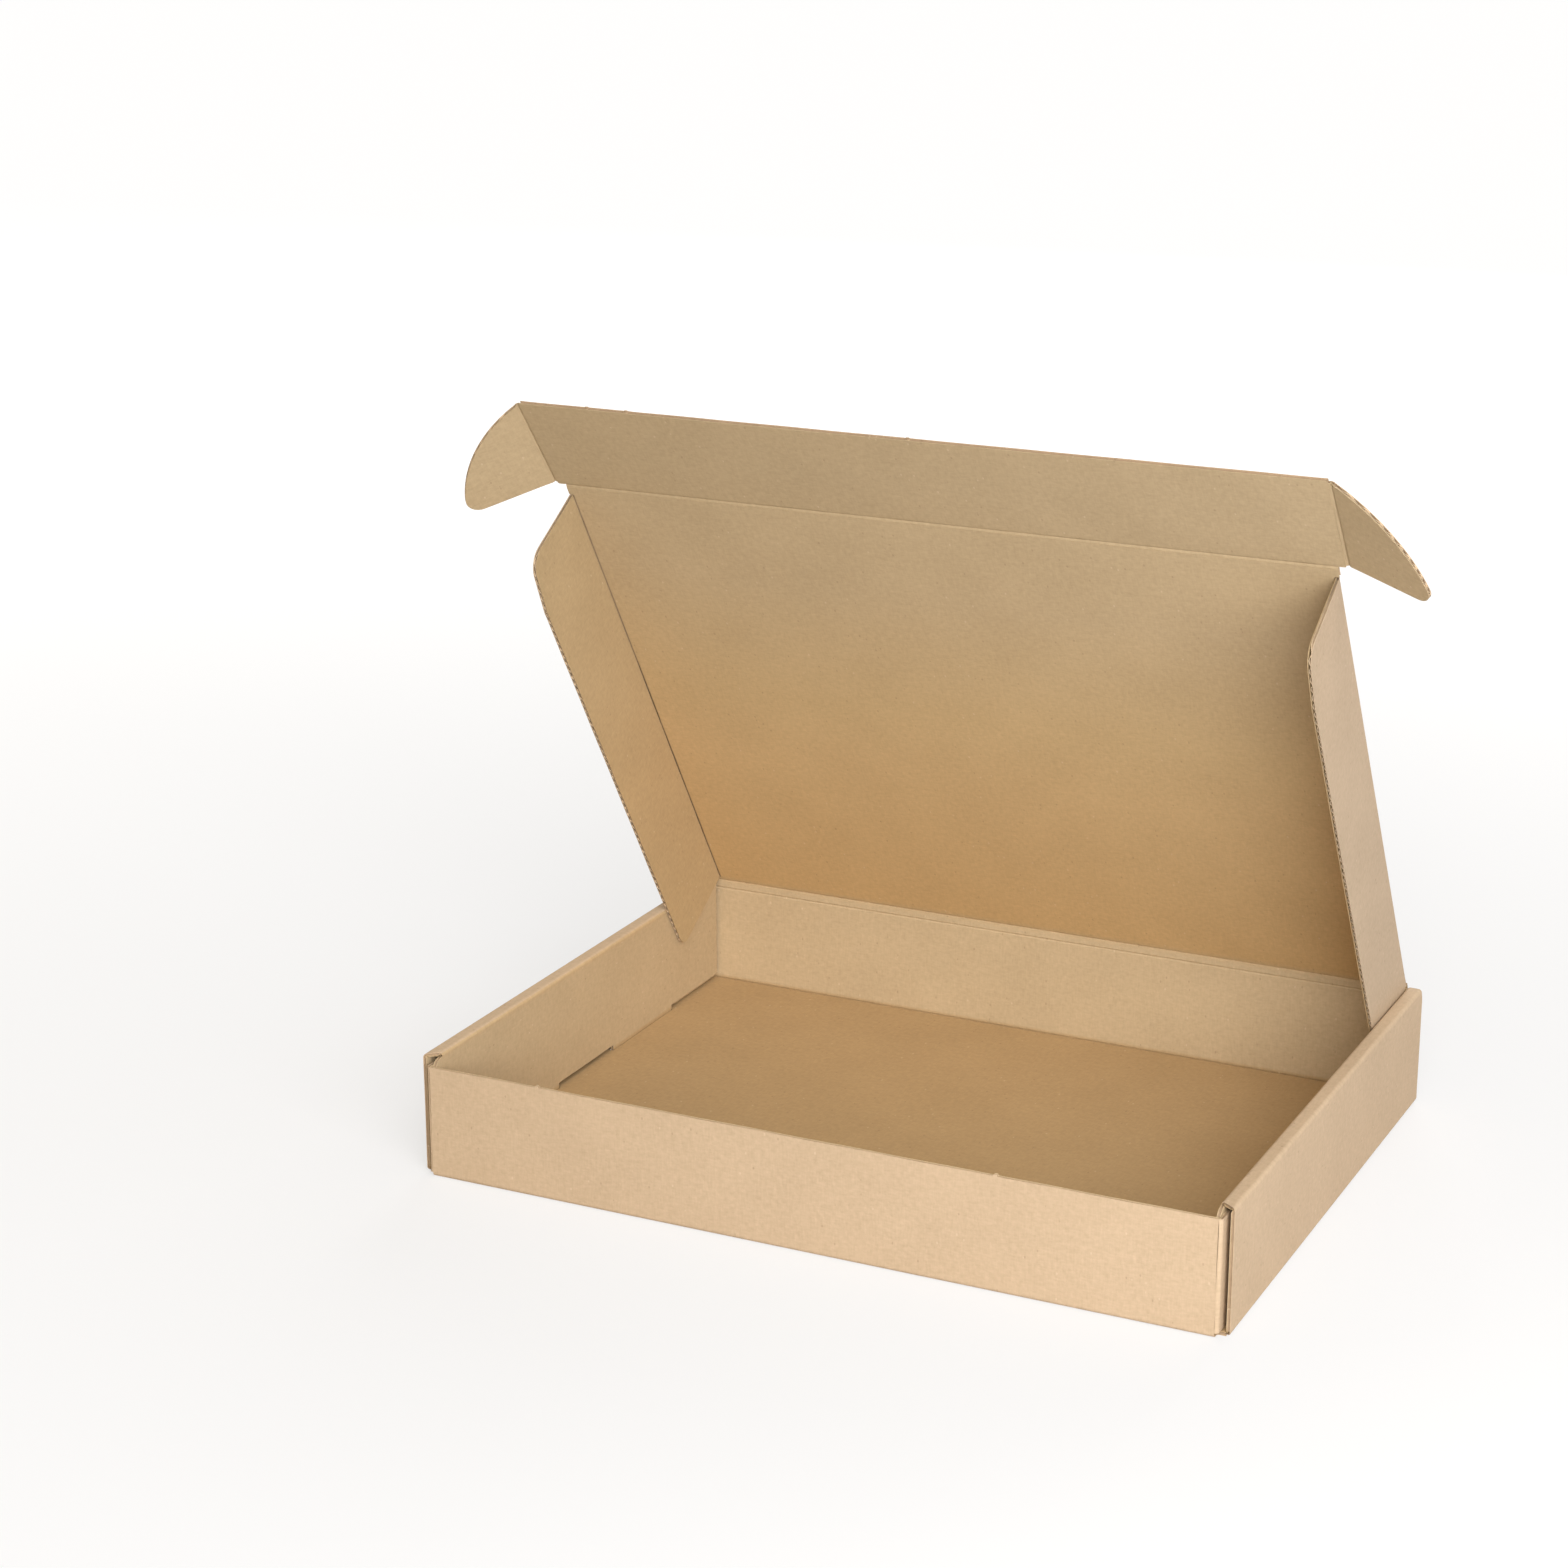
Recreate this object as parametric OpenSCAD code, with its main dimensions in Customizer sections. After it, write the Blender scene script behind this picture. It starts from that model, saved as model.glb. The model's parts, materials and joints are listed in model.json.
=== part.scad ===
// Corrugated mailer box with rolled side walls, a tuck flap and ears, lid part open.
// X is the length, -Y the front, +Y the hinge side, Z up.
// The origin is the middle of the tray's underside.

/* [Tray] */
// Outside length, side wall to side wall
box_length = 290; // [180:1:420]
// Outside width, front wall to back wall
box_width = 212; // [140:1:320]
// Top of the rolled side walls above the underside
side_height = 43.4; // [34:0.1:90]
// Lid's fold line above the underside
hinge_height = 42.6; // [33:0.1:89]
// Top of the front wall above the underside
front_height = 40.2; // [30:0.1:86]

/* [Board] */
// Thickness of the corrugated board
board = 1.3; // [1:0.1:2.4]
// Air between two layers that lie side by side in a rolled wall
layer_gap = 0.15; // [0.1:0.05:0.5]
// Air between the two sides of a crease that moves
crease_gap = 0.2; // [0.15:0.05:0.4]
// Air between a closed flap and the wall it slides along
flap_gap = 0.3; // [0.2:0.05:1]

/* [Rolled side walls] */
// How far the outer side wall starts behind the front wall's face
front_setback = 3; // [2.6:0.1:6]
// How far the outer side wall stops short of the back wall's face
back_setback = 1.5; // [1:0.1:5]
// How much further back the top strip starts on its inner side
strip_slant = 3.5; // [1:0.1:8]
// Rounding of the rear top corner of the side walls
rear_radius = 4; // [1:0.1:8]
// Height of the open joint between the inner panel and the floor
panel_lift = 1.9; // [0.4:0.1:3]
// Air between the inner panel's ends and the front and back walls
panel_end_gap = 0.4; // [0.2:0.1:2]
// Length of the ears that the front and back walls send into the side walls
wall_ear = 38; // [15:1:60]
// Rounding of the wall ears' free corners
wall_ear_radius = 3; // [1:0.5:8]

/* [Locking tabs] */
// Length of each locking tab along the wall
tab_length = 46; // [15:1:56]
// Distance from the middle of the box to the middle of the front tabs
front_tab_at = 45; // [30:1:70]
// Distance from the middle of the box to the middle of the rear tabs
rear_tab_at = 42; // [30:1:70]
// Width of the floor slots that the tabs drop into
slot_width = 3.2; // [2.6:0.1:6]
// Air at each end of a tab in its slot
tab_end_gap = 0.6; // [0.3:0.1:2]
// Air beside a tab, and above the underside, in its slot
tab_side_gap = 0.3; // [0.1:0.05:0.5]

/* [Dust flaps] */
// Depth of the flaps at the sides of the lid
dust_depth = 36.5; // [15:0.5:80]
// Distance from the lid's fold line to the rear end of a dust flap
dust_rear_gap = 2; // [1.5:0.1:10]
// Distance from the tuck flap's fold line to the front end of a dust flap
dust_front_gap = 4.7; // [3:0.1:20]
// Rounding of a dust flap's front corner
dust_front_radius = 8; // [3:0.5:13]
// Rounding of a dust flap's rear corner
dust_rear_radius = 5; // [2:0.5:13]
// Depth lost to the slant at a dust flap's front end
dust_taper = 3; // [1:0.5:8]
// Length of that slant
dust_taper_length = 22; // [16:1:60]

/* [Tuck flap and ears] */
// Air between the tuck flap's free edge and the ground when closed
tuck_clearance = 0.6; // [0.3:0.1:8]
// How far an ear's curved edge stays above the tray floor when closed
ear_floor_gap = 0.6; // [0.3:0.1:8]
// Distance from the tuck flap's fold line to an ear's straight edge
ear_edge = 1.3; // [1.2:0.1:4]
// Radius of an ear's curved edge
ear_radius = 50; // [49:0.5:90]
// How far the middle of that curve lies past the fold line, on the lid's side
ear_middle = 6.5; // [0:0.5:7]
// Rounding of an ear's tip
ear_tip_radius = 5; // [2:0.5:8]

/* [Rest pose] */
// How far the lid stands open
lid_open = 58; // [0:1:180]
// How far the tuck flap is folded
tuck_folded = 6; // [0:1:90]
// How far the left ear is folded
left_ear_folded = 35; // [0:1:90]
// How far the right ear is folded
right_ear_folded = 22; // [0:1:90]

/* [Hidden] */
$fn = 64;
t = board;
half = t / 2;
// Side face, front face and back face of the tray
xo = box_length / 2;
yf = -box_width / 2;
yb = box_width / 2;
// Layers of a rolled wall from the outside: wall, tuck ear, wall ear, inner panel
tuck_ear_x = xo - t - layer_gap;
wall_ear_x = tuck_ear_x - t - layer_gap;
panel_x = wall_ear_x - t - layer_gap;
xi = panel_x - t;
// Ends of the inner panels
panel_front = yf + t + panel_end_gap;
panel_back = yb - t - panel_end_gap;
strip_front = yf + front_setback + strip_slant;
// Lid: fold line, length to the tuck flap's fold line, creases of the dust flaps
hinge_y = yb - half;
lid_length = hinge_y - (yf - flap_gap - half);
dust_x = xi - flap_gap - t;
lid_x = dust_x - crease_gap;
// Tuck flap: depth, creases of its ears
tuck_depth = hinge_height - tuck_clearance;
ear_x = tuck_ear_x - half;
ear_drop = hinge_height - t - ear_floor_gap;
kraft = [0.78, 0.63, 0.44];

// A flat outline in X and Z, drawn out along Y
module along_y(y0, y1) translate([0, y1, 0]) rotate([90, 0, 0]) linear_extrude(y1 - y0) children();

// A flat outline in Y and Z, drawn out along X
module along_x(x0, x1) translate([x0, 0, 0]) rotate([90, 0, 90]) linear_extrude(x1 - x0) children();

module area(x0, y0, x1, y1) translate([x0, y0]) square([x1 - x0, y1 - y0]);

// Quarter disc for the outside of a fold, in the quadrant given by the signs
module fold(x, y, sx, sy) translate([x, y]) intersection() {
    circle(r = t);
    area(min(0, sx * t), min(0, sy * t), max(0, sx * t), max(0, sy * t));
}

// What rounding a corner takes off, the corner at x, y pointing along the signs
module corner_loss(x, y, sx, sy, r) difference() {
    area(min(x - sx * r, x + sx), min(y - sy * r, y + sy), max(x - sx * r, x + sx), max(y - sy * r, y + sy));
    translate([x - sx * r, y - sy * r]) circle(r = r);
}

// Both sides of the box, the right one as drawn
module both_sides() {
    children();
    mirror([1, 0, 0]) children();
}

// Outer wall and top strip, running on from the floor
module outer_wall() along_y(yf + front_setback, yb - back_setback) {
    area(0, 0, xo - t, t);
    fold(xo - t, t, 1, -1);
    area(xo - t, t, xo, side_height - t);
    fold(xo - t, side_height - t, 1, 1);
    area(panel_x, side_height - t, xo - t, side_height);
}

// Inner panel, rolled down from the strip
module inner_panel() along_y(panel_front, panel_back) {
    area(panel_x, side_height - t, panel_x + t, side_height);
    fold(panel_x, side_height - t, -1, 1);
    area(xi, t + panel_lift, panel_x, side_height - t);
}

// Tab under the inner panel, through its slot and level with the underside
module tab(y) translate([xi, y - tab_length / 2, tab_side_gap])
    cube([t, tab_length, t + panel_lift + 1 - tab_side_gap]);

module slot(y) translate([xi - tab_side_gap, y - tab_length / 2 - tab_end_gap, -1])
    cube([slot_width, tab_length + 2 * tab_end_gap, t + 2]);

// What is cut from a rolled wall: slanted strip ends and rounded corners
module rolled_wall_cuts() {
    translate([0, 0, side_height - t]) linear_extrude(t + 1)
        polygon([[xo + 1, yf - 1], [xo + 1, yf + front_setback], [xo, yf + front_setback],
                 [xi, strip_front], [xi - 1, strip_front], [xi - 1, yf - 1]]);
    along_x(xi - 1, panel_x)
        corner_loss(panel_front, side_height - t, -1, 1, strip_front - panel_front);
    along_x(xi - 1, xo + 1) corner_loss(yb - back_setback, side_height, 1, 1, rear_radius);
    along_x(xo - t, xo + 1) {
        polygon([[yb - back_setback - t, -1], [yb - back_setback + 1, -1],
                 [yb - back_setback + 1, t], [yb - back_setback, t], [yb - back_setback - t, 0]]);
        polygon([[yf + front_setback + t, -1], [yf + front_setback - 1, -1],
                 [yf + front_setback - 1, t], [yf + front_setback, t], [yf + front_setback + t, 0]]);
    }
}

module rolled_wall() difference() {
    union() {
        outer_wall();
        inner_panel();
    }
    rolled_wall_cuts();
}

// Front or back wall with its two ears, seen from above: face at y, inside along s
module wall_plan(y, s) {
    area(-wall_ear_x + t, min(y, y + s * t), wall_ear_x - t, max(y, y + s * t));
    both_sides() {
        fold(wall_ear_x - t, y + s * t, 1, -s);
        area(wall_ear_x - t, min(y + s * t, y + s * wall_ear), wall_ear_x, max(y + s * t, y + s * wall_ear));
    }
}

module eared_wall(y, s, top) difference() {
    translate([0, 0, t + flap_gap]) linear_extrude(top - t - flap_gap) wall_plan(y, s);
    along_x(-xo, xo) {
        corner_loss(y + s * wall_ear, top, s, 1, wall_ear_radius);
        corner_loss(y + s * wall_ear, t + flap_gap, s, -1, wall_ear_radius);
    }
}

// Floor with the front and back walls folded up from it
back_top = hinge_height - half - crease_gap;
module floor_and_ends() along_x(-wall_ear_x + t, wall_ear_x - t) {
    area(yf + t, 0, yb - t, t);
    fold(yf + t, t, -1, -1);
    fold(yb - t, t, 1, -1);
    area(yf, t, yf + t, front_height);
    area(yb - t, t, yb, back_top);
}

module tray() color(kraft) difference() {
    union() {
        difference() {
            union() {
                floor_and_ends();
                both_sides() rolled_wall();
            }
            both_sides() {
                slot(-front_tab_at);
                slot(rear_tab_at);
                for (y = [yf + front_setback, yb - back_setback])
                    translate([wall_ear_x - t + 1.2, y, -1]) cylinder(r = 1.2, h = t + 2);
            }
        }
        eared_wall(yf, 1, front_height);
        eared_wall(yb, -1, back_top);
        both_sides() {
            tab(-front_tab_at);
            tab(rear_tab_at);
        }
    }
}

// Moves a flap from its own frame, fold line at the origin and lying toward -Y
module in_lid() translate([0, hinge_y, hinge_height]) rotate([-lid_open, 0, 0]) children();
module in_tuck() in_lid() translate([0, -lid_length, 0]) rotate([tuck_folded, 0, 0]) children();

// Outline of a panel's end where a flap folds inward from it, flap's axis at x
module crease_loss(x, s) {
    translate([x, 0]) circle(r = half + crease_gap);
    area(min(x - s * (half + crease_gap), x + s * t), -t, max(x - s * (half + crease_gap), x + s * t), 0);
}

module lid_panel() color(kraft) in_lid() along_x(-lid_x, lid_x) difference() {
    union() {
        circle(r = half);
        area(-lid_length, -half, 0, half);
    }
    crease_loss(-lid_length, -1);
}

module tuck_flap() color(kraft) in_tuck() {
    along_x(-lid_x, lid_x) {
        circle(r = half);
        area(-t, -half, 0, half);
    }
    along_y(-tuck_depth, -t / 3) difference() {
        area(-ear_x, -half, ear_x, half);
        both_sides() crease_loss(ear_x, 1);
    }
}

// Side view of a dust flap, X across its depth and Y along the fold line
module dust_outline() difference() {
    area(0, -lid_length + dust_front_gap, dust_depth, -dust_rear_gap);
    polygon([[dust_depth, -lid_length + dust_front_gap + dust_taper_length],
             [dust_depth + 1, -lid_length + dust_front_gap + dust_taper_length],
             [dust_depth + 1, -lid_length + dust_front_gap - 1],
             [dust_depth - dust_taper, -lid_length + dust_front_gap - 1],
             [dust_depth - dust_taper, -lid_length + dust_front_gap]]);
    corner_loss(dust_depth, -dust_rear_gap, 1, 1, dust_rear_radius);
    corner_loss(dust_depth - dust_taper, -lid_length + dust_front_gap, 1, -1, dust_front_radius);
}

// Right dust flap, folded down at the lid's inner face, with the outside of the fold
module dust_flap() in_lid() translate([dust_x, 0, -half]) rotate([0, 90, 0]) {
    linear_extrude(t) dust_outline();
    along_y(-lid_length + dust_front_gap, -dust_rear_gap) fold(0, 0, -1, 1);
}

module right_dust_flap() color(kraft) dust_flap();
module left_dust_flap() color(kraft) mirror([1, 0, 0]) dust_flap();

// Middle of an ear's curved edge and of its rounded tip, X along the ear
ear_cx = -sqrt(pow(ear_radius, 2) - pow(ear_drop + ear_middle, 2));
tip_y = ear_edge + ear_tip_radius;
tip_x = ear_cx + sqrt(pow(ear_radius - ear_tip_radius, 2) - pow(tip_y + ear_middle, 2));
tip_turn = atan2(tip_y + ear_middle, tip_x - ear_cx);

module ear_outline() difference() {
    intersection() {
        translate([ear_cx, ear_middle]) circle(r = ear_radius, $fn = 180);
        area(0, -ear_drop, ear_radius * 2, -ear_edge);
    }
    difference() {
        polygon([[tip_x, -tip_y], [tip_x, 0], [tip_x + ear_tip_radius * 2, 0],
                 [tip_x + 2 * ear_tip_radius * cos(tip_turn), -tip_y - 2 * ear_tip_radius * sin(tip_turn)]]);
        translate([tip_x, -tip_y]) circle(r = ear_tip_radius);
    }
}

module ear(folded) in_tuck() translate([ear_x, 0, 0]) rotate([0, folded, 0]) {
    translate([0, 0, -half]) linear_extrude(t) ear_outline();
    along_y(-ear_drop, -ear_edge) circle(r = half);
}

module right_ear() color(kraft) ear(right_ear_folded);
module left_ear() color(kraft) mirror([1, 0, 0]) ear(left_ear_folded);

tray();
lid_panel();
tuck_flap();
left_dust_flap();
right_dust_flap();
left_ear();
right_ear();
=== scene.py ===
import json
import math

import bmesh
import bpy
from mathutils import Matrix, Vector


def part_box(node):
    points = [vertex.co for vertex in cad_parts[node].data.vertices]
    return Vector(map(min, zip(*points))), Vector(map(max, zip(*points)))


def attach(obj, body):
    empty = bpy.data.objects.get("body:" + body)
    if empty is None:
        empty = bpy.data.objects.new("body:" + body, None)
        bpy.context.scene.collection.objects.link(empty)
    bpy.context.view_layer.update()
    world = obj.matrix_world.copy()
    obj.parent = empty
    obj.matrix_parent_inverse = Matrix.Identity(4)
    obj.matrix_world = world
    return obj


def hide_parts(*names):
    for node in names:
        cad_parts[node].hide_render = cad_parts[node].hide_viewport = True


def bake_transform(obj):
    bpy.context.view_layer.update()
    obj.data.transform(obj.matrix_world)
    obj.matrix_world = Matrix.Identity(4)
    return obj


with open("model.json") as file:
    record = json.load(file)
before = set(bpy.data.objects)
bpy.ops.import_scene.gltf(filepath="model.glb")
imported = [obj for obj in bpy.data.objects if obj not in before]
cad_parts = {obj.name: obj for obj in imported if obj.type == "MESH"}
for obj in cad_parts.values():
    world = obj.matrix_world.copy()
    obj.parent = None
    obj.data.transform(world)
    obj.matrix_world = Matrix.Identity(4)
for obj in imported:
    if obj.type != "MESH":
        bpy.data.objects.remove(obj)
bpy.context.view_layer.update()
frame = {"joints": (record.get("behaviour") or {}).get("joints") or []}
mm = 0.001

# the board and its folds, in millimetres
sheet = {
    "thick": 1.3, "liner": 0.2, "medium": 0.18, "flute": 3.5,
    "layerGap": 0.15, "flapGap": 0.3,  # between layers, and below a folded ear
    "sink": 0.4, "trim": 0.12,         # filling and fluting stay behind the cut edge
    "score": 0.5, "crush": 0.45,       # pressed line beside a fold, and its depth inside
    "wear": 0.09, "wearEvery": 2.6,    # fraying of the cut edges
    "foldSteps": 4, "waveSteps": 8,
}
thick = sheet["thick"]
half = thick / 2
outerSlot, fillSlot, innerSlot, fluteSlot = 0, 1, 2, 3  # material slots of every piece

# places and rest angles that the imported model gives
joints = {j["name"]: j for j in frame["joints"]}
trayLow, trayHigh = (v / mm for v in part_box("tray"))
hingeAt = Vector(joints["lid_hinge"]["pos_m"]) / mm
tuckAt = Vector(joints["tuck_fold"]["pos_m"]) / mm
lidLength = (tuckAt - hingeAt).length
lidOpen = -joints["lid_hinge"]["range_deg"][0]
tuckFolded = -joints["tuck_fold"]["range_deg"][0]
earX = joints["right_ear_fold"]["pos_m"][0] / mm
dustX = joints["right_dust_fold"]["pos_m"][0] / mm
print("frame loaded: lid open", lidOpen, "degrees, lid length", round(lidLength, 2), "mm")


# corners are x, y, radius, and each radius becomes an arc
def rounded(corners, steps=7):
    out = []
    for i, (x, y, r) in enumerate(corners):
        here = Vector((x, y))
        if r <= 0:
            out.append((x, y))
            continue
        before = (Vector(corners[i - 1][:2]) - here).normalized()
        after = (Vector(corners[(i + 1) % len(corners)][:2]) - here).normalized()
        opening = before.angle(after)
        reach = r / math.tan(opening / 2)
        middle = here + (before + after).normalized() * (r / math.sin(opening / 2))
        first, last = here + before * reach - middle, here + after * reach - middle
        turn = first.angle_signed(last)
        for k in range(steps + 1):
            a = -turn * k / steps
            out.append((middle.x + first.x * math.cos(a) - first.y * math.sin(a),
                        middle.y + first.x * math.sin(a) + first.y * math.cos(a)))
    return out


# the outline moved inward, whichever way round it runs
def drawnIn(loop, by):
    area = sum(a[0] * b[1] - b[0] * a[1] for a, b in zip(loop, loop[1:] + loop[:1]))
    side = by if area > 0 else -by
    out = []
    for i, p in enumerate(loop):
        a, b, c = Vector(loop[i - 1]), Vector(p), Vector(loop[(i + 1) % len(loop)])
        d1, d2 = (b - a).normalized(), (c - b).normalized()
        n1, n2 = Vector((-d1.y, d1.x)), Vector((-d2.y, d2.x))
        m = n1 + n2
        scale = side / max(0.35, m.dot(n1))  # keeps sharp corners from shooting out
        out.append((b.x + m.x * scale, b.y + m.y * scale))
    return out


# the outline with its long edges a little frayed, inward only
def worn(loop, amount, shift):
    out = []
    inner = drawnIn(loop, amount)
    for i, a in enumerate(loop):
        k = (i + 1) % len(loop)
        a, b, c, d = Vector(a), Vector(loop[k]), Vector(inner[i]), Vector(inner[k])
        parts = max(1, round((b - a).length / sheet["wearEvery"]))
        for j in range(parts):
            f = j / parts
            # uneven, but the same in every run
            wear = 0.0 if j == 0 else 0.5 + 0.5 * math.sin(j * 12.9898 + i * 4.1 + shift * 7.3)
            edge, back = a.lerp(b, f), c.lerp(d, f)
            out.append(tuple(edge.lerp(back, wear)))
    return out


# the middle of the board along a run of straight panels and left-hand folds
class FoldedPath:
    def __init__(self, start, heading, steps):
        self.parts = []
        at, angle, run = Vector(start), math.radians(heading), 0.0
        for kind, amount in steps:
            if kind == "line":
                self.parts.append(("line", run, amount, at.copy(), angle))
                at += Vector((math.cos(angle), math.sin(angle))) * amount
                run += amount
            else:
                turn = math.radians(amount)
                self.parts.append(("turn", run, half * turn, at.copy(), angle))
                centre = at + Vector((-math.sin(angle), math.cos(angle))) * half
                angle += turn
                at = centre - Vector((-math.sin(angle), math.cos(angle))) * half
                run += half * turn

    # where the board is cut across so that it can bend
    def marks(self):
        out, steps = [], sheet["foldSteps"]
        for kind, run, length, _, _ in self.parts:
            if kind == "turn":
                out += [run + length * k / steps for k in range(steps + 1)]
                out += [run - sheet["score"], run + length + sheet["score"]]
        return out

    # how deep the inner liner is pressed in beside a fold
    def crush(self, s):
        deep = 0.0
        for kind, run, length, _, _ in self.parts:
            if kind == "turn":
                deep = max(deep, 1 - abs(s - run - length / 2) / (length / 2 + sheet["score"]))
        return max(0.0, deep) * sheet["crush"]

    # s runs along the board, n goes outward from its middle
    def at(self, s, n):
        kind, run, _, start, angle = self.parts[0]
        for part in self.parts:
            if s >= part[1] - 1e-6:
                kind, run, _, start, angle = part
        right = Vector((math.sin(angle), -math.cos(angle)))
        if n < -0.2:  # the inner liner and what lies next to it
            n += self.crush(s)
        if kind == "line":
            return start + Vector((math.cos(angle), math.sin(angle))) * (s - run) + right * n
        centre = start - right * half
        a = angle + (s - run) / half
        return centre + Vector((math.sin(a), -math.cos(a))) * (half + n)


def startPiece():
    bm = bmesh.new()
    bm.loops.layers.uv.new("sheet")
    return bm


def addTo(target, part):
    spare = bpy.data.meshes.new("spare")
    part.to_mesh(spare)
    part.free()
    target.from_mesh(spare)
    bpy.data.meshes.remove(spare)


# the flat coordinates become the UV map, 1 for 100 mm, then the part is bent and placed
def finishPart(target, part, place):
    layer = part.loops.layers.uv.verify()
    for face in part.faces:
        for loop in face.loops:
            loop[layer].uv = (loop.vert.co.x * 0.01, loop.vert.co.y * 0.01)
    for v in part.verts:
        v.co = place(v.co.x, v.co.y, v.co.z) * mm
    bmesh.ops.recalc_face_normals(part, faces=part.faces)
    addTo(target, part)


# a flat outline with holes, cut across where it bends and given its thickness
def slab(target, loops, low, high, place, cutsX=(), cutsY=(), slot=outerSlot, rolledAt=None):
    part = bmesh.new()
    part.loops.layers.uv.new("sheet")
    for loop in loops:
        verts = [part.verts.new((x, y, low)) for x, y in loop]
        for a, b in zip(verts, verts[1:] + verts[:1]):
            part.edges.new((a, b))
    bmesh.ops.triangle_fill(part, use_beauty=True, use_dissolve=False, edges=part.edges[:], normal=(0, 0, 1))
    for axis, cuts in ((0, cutsX), (1, cutsY)):
        for c in cuts:
            co, no = [0, 0, 0], [0, 0, 0]
            co[axis], no[axis] = c, 1
            bmesh.ops.bisect_plane(part, geom=part.verts[:] + part.edges[:] + part.faces[:],
                                   dist=1e-4, plane_co=co, plane_no=no)
    made = bmesh.ops.extrude_face_region(part, geom=part.faces[:])["geom"]
    for v in made:
        if isinstance(v, bmesh.types.BMVert):
            v.co.z = high
    for f in part.faces:
        inside = rolledAt is not None and f.calc_center_median().x > rolledAt
        f.material_index = innerSlot if inside else slot
    finishPart(target, part, place)


# the waved medium: one wave drawn out along x, trimmed to the outline, then thickened
def fluting(target, loop, place):
    lowX, highX = min(p[0] for p in loop), max(p[0] for p in loop)
    lowY, highY = min(p[1] for p in loop), max(p[1] for p in loop)
    rise = half - sheet["liner"] - sheet["medium"] / 2
    rows = max(2, round((highY - lowY) / sheet["flute"] * sheet["waveSteps"]))
    part = bmesh.new()
    part.loops.layers.uv.new("sheet")
    last = None
    for r in range(rows + 1):
        y = lowY + (highY - lowY) * r / rows
        here = part.verts.new((lowX, y, rise * math.sin(2 * math.pi * y / sheet["flute"])))
        if last:
            part.edges.new((last, here))
        last = here
    drawn = bmesh.ops.extrude_edge_only(part, edges=part.edges[:])["geom"]
    far = [g for g in drawn if isinstance(g, bmesh.types.BMVert)]
    bmesh.ops.translate(part, vec=(highX - lowX, 0, 0), verts=far)
    inner = drawnIn(loop, sheet["trim"])
    middle = sum((Vector(p) for p in inner), Vector((0, 0))) / len(inner)
    for p, q in zip(inner, inner[1:] + inner[:1]):
        along = Vector(q) - Vector(p)
        out = Vector((along.y, -along.x))
        if out.dot(middle - Vector(p)) > 0:
            out = -out
        bmesh.ops.bisect_plane(part, geom=part.verts[:] + part.edges[:] + part.faces[:], dist=1e-5,
                               plane_co=(p[0], p[1], 0), plane_no=(out.x, out.y, 0), clear_outer=True)
    bmesh.ops.recalc_face_normals(part, faces=part.faces)
    bmesh.ops.solidify(part, geom=part.faces[:], thickness=sheet["medium"])
    for f in part.faces:
        f.material_index = fluteSlot
    finishPart(target, part, place)


# two liners, with fluting or a plain filling between them
def board(target, loops, place, cutsX=(), cutsY=(), fluted=False, rolledAt=None):
    outer = [worn(loops[0], sheet["wear"], 0)] + loops[1:]
    inner = [worn(loops[0], sheet["wear"], 1)] + loops[1:]
    slab(target, outer, half - sheet["liner"], half, place, cutsX, cutsY, outerSlot, rolledAt)
    slab(target, inner, -half, -half + sheet["liner"], place, cutsX, cutsY, innerSlot)
    if fluted:
        fluting(target, loops[0], place)
    else:
        # the plain filling takes the darker medium tone, which carries painted shade
        filling = [drawnIn(loops[0], sheet["sink"])] + [drawnIn(hole, -sheet["sink"]) for hole in loops[1:]]
        slab(target, filling, -half + sheet["liner"], half - sheet["liner"], place, cutsX, cutsY, fillSlot)


def finishPiece(bm, name, body=None, stands=(), bends=None, outside=None, inside=None):
    mesh = bpy.data.meshes.new(name)
    bm.to_mesh(mesh)
    bm.free()
    obj = bpy.data.objects.new(name, mesh)
    bpy.context.scene.collection.objects.link(obj)
    for material in (outside or kraft, medium, inside or kraftInside, flutes):
        mesh.materials.append(material)
    if bends:
        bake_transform(obj)
    else:
        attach(obj, body)
    if stands:
        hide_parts(*stands)
    print("piece", name, len(mesh.polygons), "faces")


# grain of the paper, on the flat sheet; 1 on the UV map is 100 mm
paper = {
    "along": (160.0, 24.0, 1.0), "across": (40.0, 130.0, 1.0), "acrossTurn": 0.5,
    "cloudScale": 3.2, "mottleScale": 52.0, "grainGain": (0.62, -0.43), "cloudGain": (0.5, -0.25),
    "speckSpace": (44.0, 27.0, 1.0), "speckEdge": (0.10, 0.17),
    "darkBelow": 0.16, "darkSpeck": (0.16, 0.09, 0.045, 1),
    "paleAbove": 0.9, "paleSpeck": (0.8, 0.66, 0.47, 1), "speckShow": 0.25,
    "washShade": 0.006, "washHeight": 0.007, "fibreHeight": 0.03,
    "roughSpread": (-0.06, 0.08), "specular": 0.22, "ior": 1.45,
}

# dark and light tone of each paper surface
tones = {
    "liner": ((0.44, 0.323, 0.204, 1), (0.63, 0.473, 0.314, 1)),
    # the flap outside is a darker, greyer copy of the liner: painted shade
    "flapOutsideShaded": ((0.407, 0.304, 0.198, 1), (0.583, 0.445, 0.305, 1)),
    "inside": ((0.465, 0.356, 0.213, 1), (0.672, 0.524, 0.327, 1)),
    # the filling: the medium's paper colour darkened by painted shade of the flute hollows
    "medium": ((0.31, 0.215, 0.13, 1), (0.43, 0.31, 0.20, 1)),
    "flutes": ((0.46, 0.34, 0.21, 1), (0.72, 0.565, 0.385, 1)),
}
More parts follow.
